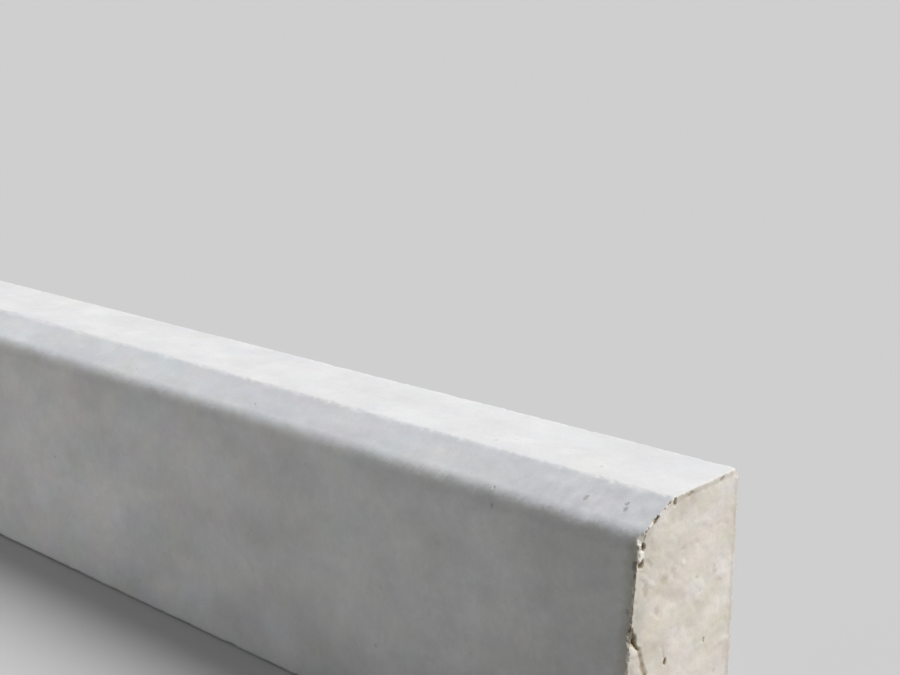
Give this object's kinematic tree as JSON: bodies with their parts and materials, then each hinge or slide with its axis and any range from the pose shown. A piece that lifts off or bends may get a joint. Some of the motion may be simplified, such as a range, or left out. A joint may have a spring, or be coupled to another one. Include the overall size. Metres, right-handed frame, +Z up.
{
  "type": "kerb stone",
  "caption": "Straight cast concrete kerb stone, 1 m long, with a flat bed and top, a face that leans back slightly, and a sloping splay with a rounded brow.",
  "frame": {"origin": "middle of the bed, the flat face that the kerb stands on", "axes": "+X along the kerb, -Y out of the exposed face, +Y towards the pavement behind it, +Z up"},
  "size_m": [1, 0.13, 0.2],
  "materials": {
    "concrete": "matt cast concrete, smooth on the moulded faces and rough on the ends"
  },
  "bodies": {
    "root": {"kerb_stone": "concrete"}
  },
  "joints": []
}
